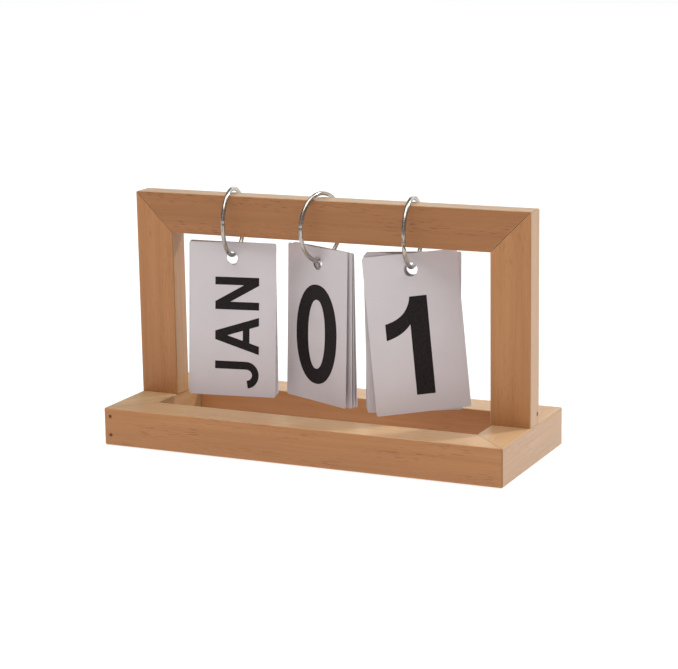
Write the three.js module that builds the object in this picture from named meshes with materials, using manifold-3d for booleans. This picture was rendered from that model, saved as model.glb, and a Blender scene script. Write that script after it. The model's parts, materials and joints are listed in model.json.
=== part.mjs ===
// Flip desk calendar: a mitred wooden stand, three hinged book rings on its top rail,
// and a stack of perpetual-calendar cards on each ring (months, tens, units).
// Millimetres, +Z up, +X to the right as read, -Y towards the reader.
// Origin: middle of the base's underside.

import * as THREE from "three";
import { mergeVertices } from "three/addons/utils/BufferGeometryUtils.js";
import Module from "manifold-3d";

const wasm = await Module();
wasm.setup();

// ---------------------------------------------------------------- driving dimensions

const BASE_LENGTH = 210;
const BASE_DEPTH = 83.5;
const BASE_HEIGHT = 18.7;
const BASE_RAIL_WIDTH = 20;

const UPRIGHT_HEIGHT = 103; // post foot to the top of the top rail
const UPRIGHT_WIDTH = 20.2; // width of the posts and of the top rail, seen from the front
const UPRIGHT_THICKNESS = 12.2;
const UPRIGHT_Y = 2.5; // the posts stand a little behind the middle of the base
const UPRIGHT_INSET = 0.3; // post's outer face in from the end of the base
const JOINT_GAP = 0.2; // glue line at every wood joint
const EASED_EDGE = 0.6; // flat sanded on the long edges of every bar

const BRAD_RADIUS = 0.55;
const BRAD_HEAD_RADIUS = 0.85;
const BRAD_HEAD_LENGTH = 1.2;
const BRAD_LENGTH = 24;
const BRAD_SUNK = 0.3; // depth of the head below the wood's surface
const BRAD_CLEARANCE = 0.15;
const BRAD_SIDES = 10;
const BRAD_INSET = 3.5; // corner brads: in from the end of the rail
const BRAD_HEIGHTS = { upper: 14.6, lower: 5.2 };
const FOOT_BRAD_ABOVE_BASE = 5;
const FOOT_BRAD_SLANT = 38; // degrees below level

const DOWEL_RADIUS = 3;
const DOWEL_LENGTH = 22;
const DOWEL_END_GAP = 1; // room for glue at each end of the drilled hole
const DOWEL_SIDES = 20;

const RING_RADIUS = 16.5; // to the middle of the wire
const WIRE_RADIUS = 1.05;
const WIRE_SIDES = 12;
const ARC_STEPS = 20; // segments in half a ring
const RING_SEAT = 0.3; // gap between the wire and the top rail's edges
const RING_CENTRE_Z = BASE_HEIGHT + UPRIGHT_HEIGHT + RING_SEAT -
  Math.sqrt((RING_RADIUS - WIRE_RADIUS) ** 2 - (UPRIGHT_THICKNESS / 2) ** 2);

const TAB_RADIUS = 1.3; // flattened eye at the ring's hinge
const TAB_THICKNESS = 0.6;
const TAB_SIDES = 16;
const TAB_SPLIT = 0.1; // half the gap between the two eyes
const NECK_LENGTH = 4; // flattened stretch that joins the eye to the round wire
const WIRE_STOP = 2.4; // round wire ends this far from the rivet's axis
const RIVET_RADIUS = 0.45;
const RIVET_HEAD_RADIUS = 0.85;
const RIVET_HEAD_LENGTH = 0.22;
const RIVET_CLEARANCE = 0.15;
const CLASP_GAP = 0.15; // half the gap between the ring's free ends
const CLASP_LAP = 1.8; // length of the half-round tongue that keeps them in line
const CLASP_SPLIT = 0.1;

const CARD_WIDTH = 45.8;
const CARD_HEIGHT = 76.3;
const CARD_THICKNESS = 0.25;
const CARD_CORNER = 1.6;
const CARD_CORNER_STEPS = 3;
const CARD_HOLE_RADIUS = 3.3;
const CARD_HOLE_SIDES = 16;
const CARD_HOLE_DEPTH = 7.8; // hole's centre below the card's top edge

const MONTHS = ["jan", "feb", "mar", "apr", "may", "jun", "jul", "aug", "sep", "oct", "nov", "dec"];

// One entry for each ring: where it sits on the rail, how far it is turned about the
// vertical, how far its split line is rolled, and how its cards hang. forward is how far
// in front of the ring's lowest point a card hangs; front is the first card, then the
// rest run evenly from second to last.
const STACKS = [
  {
    name: "month", labels: MONTHS, x: -53.2, turn: 9.5, roll: 0, hang: 1.45, hingeBehind: true,
    front: { forward: 3.5, yaw: 5.1, lean: -6.3, tilt: -0.9, aside: 0.55 },
    second: { forward: 3.0, yaw: 5.1, lean: -5.2, tilt: -0.4, aside: -0.4 },
    last: { forward: -1.0, yaw: 5.6, lean: 0.4, tilt: 0.3, aside: -1.2 },
  },
  {
    name: "tens", labels: ["0", "1", "2", "3"], x: -5.3, turn: -11, roll: 0, hang: 1.2, hingeBehind: true,
    front: { forward: 1.3, yaw: -25.9, lean: -2.2, tilt: -0.6, aside: -1.2 },
    second: { forward: 0.8, yaw: -25.9, lean: -1.3, tilt: -0.3, aside: 0.8 },
    last: { forward: -0.2, yaw: -25.9, lean: 0.6, tilt: 0.2, aside: 1.45 },
  },
  {
    name: "units", labels: ["1", "2", "3", "4", "5", "6", "7", "8", "9", "0"], x: 43, turn: 7.5,
    roll: 8, hang: 1.15, hingeBehind: false,
    front: { forward: 3.7, yaw: 30.6, lean: -6.1, tilt: -4.1, aside: -0.15 },
    second: { forward: 1.4, yaw: 27, lean: -4.6, tilt: -0.6, aside: -0.35 },
    last: { forward: -2.6, yaw: 25.4, lean: -0.2, tilt: 0.6, aside: -0.45 },
  },
];

// ---------------------------------------------------------------- materials

const wood = new THREE.MeshStandardMaterial({ color: 0xd9b48c, roughness: 0.6, metalness: 0 });
const endWood = new THREE.MeshStandardMaterial({ color: 0xe0c39c, roughness: 0.7, metalness: 0 });
const steel = new THREE.MeshStandardMaterial({ color: 0x77726c, roughness: 0.45, metalness: 0.9 });
const chrome = new THREE.MeshStandardMaterial({ color: 0xd6d8da, roughness: 0.12, metalness: 1 });
const card = new THREE.MeshStandardMaterial({ color: 0xcfc7ca, roughness: 0.85, metalness: 0 });

// ---------------------------------------------------------------- helpers

function radians(degrees) {
  return (degrees * Math.PI) / 180;
}

function toSolid(geometry) {
  const bare = geometry.clone();
  bare.deleteAttribute("normal");
  bare.deleteAttribute("uv");
  bare.clearGroups();
  const merged = mergeVertices(bare, 1e-5);
  return new wasm.Manifold(new wasm.Mesh({
    numProp: 3,
    vertProperties: new Float32Array(merged.attributes.position.array),
    triVerts: new Uint32Array(merged.index.array),
  }));
}

function toGeometry(solid) {
  const mesh = solid.getMesh();
  const geometry = new THREE.BufferGeometry();
  geometry.setAttribute("position", new THREE.BufferAttribute(new Float32Array(mesh.vertProperties), 3));
  geometry.setIndex(new THREE.BufferAttribute(new Uint32Array(mesh.triVerts), 1));
  return geometry;
}

const calendar = new THREE.Group();

function addPiece(parent, name, geometry, material) {
  const mesh = new THREE.Mesh(geometry, material);
  mesh.name = name;
  parent.add(mesh);
  return mesh;
}

// A regular polygon that stands for a round hole or pin, centred on (x, y).
function roundOutline(radius, sides, x = 0, y = 0) {
  return Array.from({ length: sides }, (_, i) => {
    const angle = (2 * Math.PI * (i + 0.5)) / sides;
    return new THREE.Vector2(x + radius * Math.cos(angle), y + radius * Math.sin(angle));
  });
}

function extrude(shape, depth) {
  return new THREE.ExtrudeGeometry(shape, { depth, bevelEnabled: false });
}

// ---------------------------------------------------------------- brads and dowels

// A brad lies along +Z with the top of its head at z = 0 and its point at z = BRAD_LENGTH.
function bradProfile(extra) {
  const head = BRAD_HEAD_RADIUS + extra;
  const shank = BRAD_RADIUS + extra;
  const point = BRAD_LENGTH + extra;
  return [
    new THREE.Vector2(0, extra ? -BRAD_SUNK - 1 : 0),
    new THREE.Vector2(head, extra ? -BRAD_SUNK - 1 : 0),
    new THREE.Vector2(head, BRAD_HEAD_LENGTH + extra),
    new THREE.Vector2(shank, BRAD_HEAD_LENGTH + extra),
    new THREE.Vector2(shank, BRAD_LENGTH - 2),
    new THREE.Vector2(0, point),
  ];
}

function turnedOnZ(profile, sides) {
  return new THREE.LatheGeometry(profile, sides).rotateX(Math.PI / 2);
}

const alongZ = new THREE.Vector3(0, 0, 1);

function bradMatrix(entry, direction) {
  const unit = new THREE.Vector3(...direction).normalize();
  const start = new THREE.Vector3(...entry).addScaledVector(unit, BRAD_SUNK);
  const turn = new THREE.Quaternion().setFromUnitVectors(alongZ, unit);
  return new THREE.Matrix4().compose(start, turn, new THREE.Vector3(1, 1, 1));
}

const halfLength = BASE_LENGTH / 2;
const halfDepth = BASE_DEPTH / 2;
const postOuter = halfLength - UPRIGHT_INSET;

const NAILED_CORNERS = [["front", "left"], ["back", "left"], ["back", "right"]];
const SIDE_SIGN = { left: -1, right: 1, front: -1, back: 1 };

const brads = [];
for (const [endName, sideName] of NAILED_CORNERS) {
  const front = SIDE_SIGN[endName];
  const side = SIDE_SIGN[sideName];
  for (const [level, z] of Object.entries(BRAD_HEIGHTS)) {
    brads.push({
      name: `brad_${endName}_${sideName}_${level}`,
      matrix: bradMatrix([side * (halfLength - BRAD_INSET), front * halfDepth, z], [0, -front, 0]),
    });
  }
}
for (const [sideName, side] of [["left", -1], ["right", 1]]) {
  const slant = radians(FOOT_BRAD_SLANT);
  brads.push({
    name: `brad_foot_${sideName}`,
    matrix: bradMatrix([side * postOuter, UPRIGHT_Y + 3.6, BASE_HEIGHT + FOOT_BRAD_ABOVE_BASE],
      [-side * Math.cos(slant), 0, -Math.sin(slant)]),
  });
}

const bradHoles = brads.map((brad) => toSolid(
  turnedOnZ(bradProfile(BRAD_CLEARANCE), BRAD_SIDES).applyMatrix4(brad.matrix)));

function dowelGeometry(extraRadius, length) {
  return new THREE.CylinderGeometry(DOWEL_RADIUS + extraRadius, DOWEL_RADIUS + extraRadius, length,
    DOWEL_SIDES).rotateX(Math.PI / 2);
}

function dowelPlace(side) {
  return [side * (postOuter - UPRIGHT_WIDTH / 2), UPRIGHT_Y - 1, BASE_HEIGHT];
}

const dowelHoles = [-1, 1].map((side) => toSolid(
  dowelGeometry(0.15, DOWEL_LENGTH + 2 * DOWEL_END_GAP).translate(...dowelPlace(side))));

// ---------------------------------------------------------------- wooden stand

const RUN_ALONG = {
  x: [new THREE.Vector3(0, 1, 0), new THREE.Vector3(0, 0, 1), new THREE.Vector3(1, 0, 0)],
  y: [new THREE.Vector3(0, 0, 1), new THREE.Vector3(1, 0, 0), new THREE.Vector3(0, 1, 0)],
  z: [new THREE.Vector3(1, 0, 0), new THREE.Vector3(0, 1, 0), new THREE.Vector3(0, 0, 1)],
};

// The bar a piece is cut from: its bounding box with the four long edges eased.
function easedBar(geometry, along) {
  geometry.computeBoundingBox();
  const { min, max } = geometry.boundingBox;
  const [u, v, w] = RUN_ALONG[along];
  const c = EASED_EDGE;
  const [u0, u1, v0, v1] = [min.dot(u), max.dot(u), min.dot(v), max.dot(v)];
  const section = [[u0 + c, v0], [u1 - c, v0], [u1, v0 + c], [u1, v1 - c], [u1 - c, v1], [u0 + c, v1],
    [u0, v1 - c], [u0, v0 + c]].map((p) => new THREE.Vector2(...p));
  const bar = extrude(new THREE.Shape(section), max.dot(w) - min.dot(w)).translate(0, 0, min.dot(w));
  return bar.applyMatrix4(new THREE.Matrix4().makeBasis(u, v, w));
}

// A mitred bar from its outline in plan (x, y), as high as the base.
function planPiece(outline, along) {
  const sawn = extrude(new THREE.Shape(outline.map((p) => new THREE.Vector2(...p))), BASE_HEIGHT);
  return toSolid(sawn).intersect(toSolid(easedBar(sawn, along)));
}

// A mitred bar from its outline in front view (x, z), as thick as the upright frame.
function frontPiece(outline, along) {
  const sawn = extrude(new THREE.Shape(outline.map((p) => new THREE.Vector2(...p))), UPRIGHT_THICKNESS)
    .rotateX(Math.PI / 2)
    .translate(0, UPRIGHT_Y + UPRIGHT_THICKNESS / 2, 0);
  return toSolid(sawn).intersect(toSolid(easedBar(sawn, along)));
}

function drilled(bar) {
  return toGeometry([...bradHoles, ...dowelHoles].reduce((solid, hole) => solid.subtract(hole), bar));
}

// Half the glue line, measured along an axis, on a 45 degree mitre.
const mitreGap = JOINT_GAP / Math.SQRT2;

function addBase(parent) {
  const width = BASE_RAIL_WIDTH;
  for (const [name, front] of [["base_front_rail", -1], ["base_back_rail", 1]]) {
    const outline = [
      [-halfLength + mitreGap, front * halfDepth],
      [halfLength - mitreGap, front * halfDepth],
      [halfLength - width - mitreGap, front * (halfDepth - width)],
      [-halfLength + width + mitreGap, front * (halfDepth - width)],
    ];
    addPiece(parent, name, drilled(planPiece(outline, "x")), wood);
  }
  for (const [name, side] of [["base_left_rail", -1], ["base_right_rail", 1]]) {
    const outline = [
      [side * halfLength, -halfDepth + mitreGap],
      [side * halfLength, halfDepth - mitreGap],
      [side * (halfLength - width), halfDepth - width - mitreGap],
      [side * (halfLength - width), -halfDepth + width + mitreGap],
    ];
    addPiece(parent, name, drilled(planPiece(outline, "y")), wood);
  }
}

function addUpright(parent) {
  const foot = BASE_HEIGHT + JOINT_GAP;
  const top = BASE_HEIGHT + UPRIGHT_HEIGHT;
  const width = UPRIGHT_WIDTH;
  for (const [name, side] of [["left_post", -1], ["right_post", 1]]) {
    const outline = [
      [side * postOuter, foot],
      [side * postOuter, top - mitreGap],
      [side * (postOuter - width), top - width - mitreGap],
      [side * (postOuter - width), foot],
    ];
    addPiece(parent, name, drilled(frontPiece(outline, "z")), wood);
  }
  const outline = [
    [-postOuter + mitreGap, top],
    [postOuter - mitreGap, top],
    [postOuter - width - mitreGap, top - width],
    [-postOuter + width + mitreGap, top - width],
  ];
  addPiece(parent, "top_rail", toGeometry(frontPiece(outline, "x")), wood);
}

function addFixings(parent) {
  for (const brad of brads) {
    const geometry = turnedOnZ(bradProfile(0), BRAD_SIDES).applyMatrix4(brad.matrix);
    addPiece(parent, brad.name, geometry, steel);
  }
  for (const [name, side] of [["foot_dowel_left", -1], ["foot_dowel_right", 1]]) {
    addPiece(parent, name, dowelGeometry(0, DOWEL_LENGTH).translate(...dowelPlace(side)), endWood);
  }
}

// ---------------------------------------------------------------- book rings

// A ring is drawn about the X axis. Angles run from straight down (0) through the front
// (90) to the top (180). The hinge is at 90 and the free ends meet at -90, or 270.
class RingArc extends THREE.Curve {
  constructor(from, to) {
    super();
    this.from = radians(from);
    this.to = radians(to);
  }

  getPoint(t, target = new THREE.Vector3()) {
    const angle = this.from + (this.to - this.from) * t;
    return target.set(0, -RING_RADIUS * Math.sin(angle), -RING_RADIUS * Math.cos(angle));
  }
}

// The wire's section, whole or as the half on one side of the ring's own plane.
function wireSection(side = 0) {
  const points = roundOutline(WIRE_RADIUS, WIRE_SIDES);
  if (side === 0) return new THREE.Shape(points);
  const half = points.filter((p) => p.x * side > CLASP_SPLIT);
  const top = Math.sqrt(WIRE_RADIUS ** 2 - CLASP_SPLIT ** 2) * 0.96;
  const corners = [new THREE.Vector2(side * CLASP_SPLIT, top), new THREE.Vector2(side * CLASP_SPLIT, -top)];
  const all = [...half, ...corners];
  const centre = new THREE.Vector2((side * WIRE_RADIUS) / 2, 0);
  all.sort((a, b) => Math.atan2(a.y - centre.y, a.x - centre.x) - Math.atan2(b.y - centre.y, b.x - centre.x));
  return new THREE.Shape(all);
}

function wireArc(from, to, steps, side = 0) {
  return toSolid(new THREE.ExtrudeGeometry(wireSection(side), {
    steps, extrudePath: new RingArc(from, to), bevelEnabled: false,
  }));
}

// The flattened eye and neck at the hinge, drawn flat in (y, z) and given its thickness
// along X on one side of the ring's plane. up is 1 for the upper half's, -1 for the lower's.
function hingeTab(up) {
  const half = WIRE_RADIUS * 0.85;
  const eye = [];
  for (let i = 0; i <= TAB_SIDES; i += 1) {
    const sweep = radians(180 + 2 * 28);
    const angle = Math.PI / 2 + Math.PI - sweep / 2 + (sweep * i) / TAB_SIDES;
    eye.push([TAB_RADIUS * Math.cos(angle), TAB_RADIUS * Math.sin(angle)]);
  }
  const points = [...eye, [half, NECK_LENGTH], [-half, NECK_LENGTH]];
  const outline = points.map(([y, z]) => new THREE.Vector2(y - RING_RADIUS, up * z));
  const shape = new THREE.Shape(outline);
  shape.holes.push(new THREE.Path(
    roundOutline(RIVET_RADIUS + RIVET_CLEARANCE, TAB_SIDES, -RING_RADIUS, 0)));
  const flat = extrude(shape, TAB_THICKNESS);
  // (x, y) of the drawing becomes (y, z); the thickness runs along X
  const turned = flat.applyMatrix4(new THREE.Matrix4().set(
    0, 0, 1, up > 0 ? TAB_SPLIT : -TAB_SPLIT - TAB_THICKNESS,
    1, 0, 0, 0,
    0, 1, 0, 0,
    0, 0, 0, 1));
  return toSolid(turned);
}

function ringHalves() {
  const stop = THREE.MathUtils.radToDeg(WIRE_STOP / RING_RADIUS);
  const gap = THREE.MathUtils.radToDeg(CLASP_GAP / RING_RADIUS);
  const lap = THREE.MathUtils.radToDeg(CLASP_LAP / RING_RADIUS);
  const lower = wireArc(-90 + lap, 90 - stop, ARC_STEPS)
    .add(wireArc(-90 - lap + gap, -90 + lap + 1, 3, -1))
    .add(hingeTab(-1));
  const upper = wireArc(90 + stop, 270 - lap, ARC_STEPS)
    .add(wireArc(270 - lap - 1, 270 + lap - gap, 3, 1))
    .add(hingeTab(1));
  return { lower, upper };
}

function rivetGeometry() {
  const inside = TAB_SPLIT + TAB_THICKNESS + 0.12;
  const outside = inside + RIVET_HEAD_LENGTH;
  const profile = [[0, -outside], [RIVET_HEAD_RADIUS * 0.7, -outside], [RIVET_HEAD_RADIUS, -inside],
    [RIVET_RADIUS, -inside], [RIVET_RADIUS, inside], [RIVET_HEAD_RADIUS, inside],
    [RIVET_HEAD_RADIUS * 0.7, outside], [0, outside]].map((p) => new THREE.Vector2(...p));
  return new THREE.LatheGeometry(profile, TAB_SIDES).rotateZ(-Math.PI / 2).translate(0, -RING_RADIUS, 0);
}

function addRing(parent, stack) {
  const seat = new THREE.Group();
  seat.position.set(stack.x, UPRIGHT_Y, RING_CENTRE_Z);
  seat.rotation.z = radians(stack.turn + (stack.hingeBehind ? 180 : 0));
  const rolled = new THREE.Group();
  rolled.rotation.x = radians(stack.roll);
  seat.add(rolled);
  parent.add(seat);
  const { lower, upper } = ringHalves();
  addPiece(rolled, `${stack.name}_ring_lower`, toGeometry(lower), chrome);
  addPiece(rolled, `${stack.name}_ring_upper`, toGeometry(upper), chrome);
  addPiece(rolled, `${stack.name}_ring_rivet`, rivetGeometry(), chrome);
}

// ---------------------------------------------------------------- cards

// A card stands in the XZ plane with its hole's centre at the origin.
function cardGeometry() {
  const left = -CARD_WIDTH / 2;
  const right = CARD_WIDTH / 2;
  const top = CARD_HOLE_DEPTH;
  const bottom = CARD_HOLE_DEPTH - CARD_HEIGHT;
  const r = CARD_CORNER;
  const corners = [[right - r, top - r, 0], [left + r, top - r, 90], [left + r, bottom + r, 180],
    [right - r, bottom + r, 270]];
  const outline = corners.flatMap(([x, z, start]) => Array.from({ length: CARD_CORNER_STEPS + 1 },
    (_, i) => {
      const angle = radians(start + (90 * i) / CARD_CORNER_STEPS);
      return new THREE.Vector2(x + r * Math.cos(angle), z + r * Math.sin(angle));
    }));
  const shape = new THREE.Shape(outline);
  shape.holes.push(new THREE.Path(roundOutline(CARD_HOLE_RADIUS, CARD_HOLE_SIDES)));
  return extrude(shape, CARD_THICKNESS).rotateX(Math.PI / 2).translate(0, CARD_THICKNESS / 2, 0);
}

// How card number i of a stack hangs: the first has its own place, and the others are
// spread evenly from the second to the last.
function cardPose(stack, i) {
  if (i === 0) return stack.front;
  const t = (i - 1) / (stack.labels.length - 2);
  const mix = (key) => THREE.MathUtils.lerp(stack.second[key], stack.last[key], t);
  return { forward: mix("forward"), yaw: mix("yaw"), lean: mix("lean"), tilt: mix("tilt"), aside: mix("aside") };
}

function addCards(parent, stack) {
  const turn = radians(stack.turn);
  stack.labels.forEach((label, i) => {
    const pose = cardPose(stack, i);
    const mesh = addPiece(parent, `${stack.name}_card_${label}`, cardGeometry(), card);
    mesh.position.set(
      stack.x + pose.forward * Math.sin(turn) + pose.aside,
      UPRIGHT_Y - pose.forward * Math.cos(turn),
      RING_CENTRE_Z - Math.sqrt(RING_RADIUS ** 2 - pose.forward ** 2) - stack.hang,
    );
    mesh.rotation.set(radians(pose.lean), radians(pose.tilt), radians(pose.yaw), "ZXY");
  });
}

// ---------------------------------------------------------------- assembly

const stand = new THREE.Group();
addBase(stand);
addUpright(stand);
addFixings(stand);
calendar.add(stand);

for (const stack of STACKS) {
  addRing(calendar, stack);
  addCards(calendar, stack);
}

export default calendar;
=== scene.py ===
import json
import math

import bmesh
import bpy
import numpy as np
from mathutils import Matrix, Vector
from mathutils.geometry import tessellate_polygon


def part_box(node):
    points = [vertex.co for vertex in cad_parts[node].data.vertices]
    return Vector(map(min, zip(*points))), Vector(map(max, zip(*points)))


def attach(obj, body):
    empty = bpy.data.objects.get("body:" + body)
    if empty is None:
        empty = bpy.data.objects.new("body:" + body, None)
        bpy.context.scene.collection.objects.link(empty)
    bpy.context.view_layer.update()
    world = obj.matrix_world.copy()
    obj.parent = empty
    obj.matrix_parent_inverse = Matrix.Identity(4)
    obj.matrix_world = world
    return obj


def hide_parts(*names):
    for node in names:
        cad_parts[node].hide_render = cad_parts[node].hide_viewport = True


# Looks for the flip desk calendar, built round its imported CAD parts.
# Metres, +Z up, +X to the right as read, -Y towards the reader. Sizes below are in
# millimetres where a name or a comment says so, and MM turns them into metres.

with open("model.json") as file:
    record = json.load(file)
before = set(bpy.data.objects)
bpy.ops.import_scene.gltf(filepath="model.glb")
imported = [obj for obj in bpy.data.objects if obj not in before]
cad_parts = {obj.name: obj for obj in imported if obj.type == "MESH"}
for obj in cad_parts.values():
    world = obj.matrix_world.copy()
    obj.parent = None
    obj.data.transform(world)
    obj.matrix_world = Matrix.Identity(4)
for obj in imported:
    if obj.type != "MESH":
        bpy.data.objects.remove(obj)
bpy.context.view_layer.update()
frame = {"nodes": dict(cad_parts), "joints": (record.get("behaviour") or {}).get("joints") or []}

MM = 0.001
UP = Vector((0, 0, 1))
JOINTS = {joint["name"]: joint for joint in frame["joints"]}
STACKS = ("month", "tens", "units")

# ------------------------------------------------------------------ camera

IMAGE_WIDTH = 678
FOCAL_PIXELS = 2095.8
SENSOR_WIDTH = 36.0
CAMERA_AT = Vector((0.4267, -0.9047, 0.2714))
CAMERA_AZIMUTH, CAMERA_ELEVATION, CAMERA_ROLL = (math.radians(a) for a in (25.01, 12.19, -0.92))
CAMERA_CLIP = (0.05, 50)


def add_camera():
    az, el, roll = CAMERA_AZIMUTH, CAMERA_ELEVATION, CAMERA_ROLL
    back = Vector((math.sin(az) * math.cos(el), -math.cos(az) * math.cos(el), math.sin(el)))
    level = UP.cross(back).normalized()
    upright = back.cross(level)
    right = math.cos(roll) * level + math.sin(roll) * upright
    up = -math.sin(roll) * level + math.cos(roll) * upright
    data = bpy.data.cameras.new("camera")
    data.sensor_width = SENSOR_WIDTH
    data.lens = FOCAL_PIXELS * SENSOR_WIDTH / IMAGE_WIDTH
    data.clip_start, data.clip_end = CAMERA_CLIP
    camera = bpy.data.objects.new("camera", data)
    bpy.context.scene.collection.objects.link(camera)
    turn = Matrix((right, up, back)).transposed().to_4x4()
    camera.matrix_world = Matrix.Translation(CAMERA_AT) @ turn
    bpy.context.scene.camera = camera


# ------------------------------------------------------------------ materials


class Graph:
    """A material's node tree, with short ways to add nodes to it."""

    def __init__(self, name, **sockets):
        self.material = bpy.data.materials.new(name)
        self.material.use_nodes = True
        self.tree = self.material.node_tree
        self.tree.nodes.clear()
        self.shader = self.node("ShaderNodeBsdfPrincipled")
        output = self.node("ShaderNodeOutputMaterial")
        self.link(self.shader.outputs[0], output.inputs[0])
        for socket, value in sockets.items():
            self.shader.inputs[socket.replace("_", " ")].default_value = value

    def node(self, kind, **settings):
        node = self.tree.nodes.new(kind)
        for key, value in settings.items():
            setattr(node, key, value)
        return node

    def link(self, source, target):
        self.tree.links.new(source, target)

    def stretched(self, scale, offset):
        """Object coordinates times scale, one number for each axis, and shifted."""
        place = self.node("ShaderNodeTexCoord").outputs["Object"]
        mapping = self.node("ShaderNodeMapping")
        mapping.inputs["Scale"].default_value = scale
        mapping.inputs["Location"].default_value = offset
        self.link(place, mapping.inputs["Vector"])
        return mapping.outputs[0]

    def noise(self, scale, offset=(0, 0, 0), detail=2.0, roughness=0.5, distortion=0.0):
        noise = self.node("ShaderNodeTexNoise")
        noise.inputs["Scale"].default_value = 1
        noise.inputs["Detail"].default_value = detail
        noise.inputs["Roughness"].default_value = roughness
        noise.inputs["Distortion"].default_value = distortion
        self.link(self.stretched(scale, offset), noise.inputs["Vector"])
        return noise.outputs["Fac"]

    def steps(self, value, low, high, out_low=0.0, out_high=1.0):
        """value taken from the range low-high to out_low-out_high, and held at the ends."""
        node = self.node("ShaderNodeMapRange")
        ranges = {"From Min": low, "From Max": high, "To Min": out_low, "To Max": out_high}
        for name, number in ranges.items():
            node.inputs[name].default_value = number
        self.link(value, node.inputs["Value"])
        return node.outputs["Result"]

    def mixed(self, factor, first, second, blend="MIX"):
        """Two colours mixed; each is a socket or a plain colour, and so is the factor."""
        node = self.node("ShaderNodeMix", data_type="RGBA", blend_type=blend)
        for index, value in ((0, factor), (6, first), (7, second)):
            socket = node.inputs[index]
            if isinstance(value, bpy.types.NodeSocket):
                self.link(value, socket)
            elif isinstance(value, tuple):
                socket.default_value = (*value, 1.0)
            else:
                socket.default_value = value
        return node.outputs[2]

    def summed(self, first, second, operation="ADD"):
        node = self.node("ShaderNodeMath", operation=operation)
        for socket, value in zip(node.inputs, (first, second)):
            if isinstance(value, bpy.types.NodeSocket):
                self.link(value, socket)
            else:
                socket.default_value = value
        return node.outputs[0]

    def bump(self, height, strength, distance):
        node = self.node("ShaderNodeBump")
        node.inputs["Strength"].default_value = strength
        node.inputs["Distance"].default_value = distance
        self.link(height, node.inputs["Height"])
        self.link(node.outputs[0], self.shader.inputs["Normal"])


WOOD_PALE = (0.54, 0.245, 0.092)
WOOD_MID = (0.43, 0.178, 0.060)
WOOD_DARK = (0.24, 0.08, 0.028)
TOP_PAINTED_LIGHT = (1.14, 1.5, 1.85)  # painted light: the upper faces are made paler and yellower than the front ones
SIDE_PAINTED_SHADE = (0.86, 0.94, 0.92)  # painted shade: faces to the left and the right are made darker
PAINTED_FACING_RAMP = (0.35, 0.95)  # the normal's share along that way where the painted light and shade start, and are whole
SHEEN = (1, 0.97, 0.88, 1)
NOISE_SPAN = (0.3, 0.7)  # most of a noise's values lie in this range
INK_COLOURS = ((0.009, 0.006, 0.0065), (0.020, 0.0125, 0.0135))


def wood_material(name, along, seed, flecked=0.5, painted_bar_shift=(1, 1, 1)):
    """Beech with its grain along one axis: long soft bands, fine fibres and short dark rays. Faces
    turned up get painted light and faces turned to the sides get painted shade.

    The noise scales are in waves to a metre, along the grain and across it.
    """
    graph = Graph(name, Specular_IOR_Level=0.4, Coat_Weight=0.12, Coat_Roughness=0.4,
                  Sheen_Weight=0.8, Sheen_Roughness=0.34, Sheen_Tint=SHEEN)

    def grain(long, across, **kwargs):
        scale = [across] * 3
        scale["xyz".index(along)] = long
        return graph.noise(scale, (seed * 3.7, seed * 1.9, seed * 5.3), **kwargs)

    bands = grain(6, 170, detail=3, distortion=0.6)
    streaks = grain(14, 620, detail=4, roughness=0.6)
    fibres = grain(150, 3600, detail=2)
    rays = grain(170, 1500, detail=1)
    clusters = grain(25, 120, detail=1)
    # Painted light and shade for one bar: its pale and middle tones are scaled for how the light
    # falls on it.
    pale, middle = (tuple(a * b for a, b in zip(c, painted_bar_shift)) for c in (WOOD_PALE, WOOD_MID))
    tone = graph.summed(graph.steps(bands, *NOISE_SPAN, 0, 0.62),
                        graph.steps(streaks, *NOISE_SPAN, 0, 0.38))
    colour = graph.mixed(tone, pale, middle)
    fleck = graph.summed(graph.steps(rays, 0.56, 0.72), graph.steps(clusters, 0.45, 0.62),
                         "MULTIPLY")
    colour = graph.mixed(graph.summed(fleck, flecked, "MULTIPLY"), colour, WOOD_DARK)
    shade = graph.mixed(fibres, (0.9, 0.88, 0.86), (1.06, 1.06, 1.06))
    colour = graph.mixed(1.0, colour, shade, "MULTIPLY")
    # Painted light and shade by facing: upper faces are made paler and yellower, faces to the left
    # and right darker, for how the light falls on them.
    facing = graph.node("ShaderNodeSeparateXYZ")
    graph.link(graph.node("ShaderNodeTexCoord").outputs["Normal"], facing.inputs[0])
    sideways = graph.summed(facing.outputs["X"], 0, "ABSOLUTE")
    for amount, tint in ((sideways, SIDE_PAINTED_SHADE), (facing.outputs["Z"], TOP_PAINTED_LIGHT)):
        painted_tone = graph.mixed(graph.steps(amount, *PAINTED_FACING_RAMP), (1, 1, 1), tint)
        colour = graph.mixed(1.0, colour, painted_tone, "MULTIPLY")
    graph.link(colour, graph.shader.inputs["Base Color"])
    graph.link(graph.steps(streaks, *NOISE_SPAN, 0.42, 0.54), graph.shader.inputs["Roughness"])
    relief = graph.summed(fibres, graph.summed(fleck, -0.8, "MULTIPLY"))
    graph.bump(relief, 0.18, 0.15 * MM)
    return graph.material


def card_material(name, colour, edge):
    """Matt card with a slight tooth. edge says that it is for the cut edges, which vary more."""
    graph = Graph(name, Roughness=0.62, Specular_IOR_Level=0.4)
    tooth = graph.noise((2400, 2400, 2400), detail=3)
    cloud = graph.noise((45, 45, 45), detail=2)
    pale = tuple(c * 1.03 for c in colour)
    dull = tuple(c * (0.9 if edge else 0.965) for c in colour)
    colour = graph.mixed(graph.steps(cloud, *NOISE_SPAN), dull, pale)
    graph.link(colour, graph.shader.inputs["Base Color"])
    graph.bump(tooth, 0.12, 0.03 * MM)
    return graph.material


def ink_material():
    graph = Graph("ink_print", Roughness=0.6, Specular_IOR_Level=0.2)
    mottle = graph.noise((900, 900, 900), detail=3)
    colour = graph.mixed(graph.steps(mottle, *NOISE_SPAN), *INK_COLOURS)
    graph.link(colour, graph.shader.inputs["Base Color"])
    return graph.material


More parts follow.
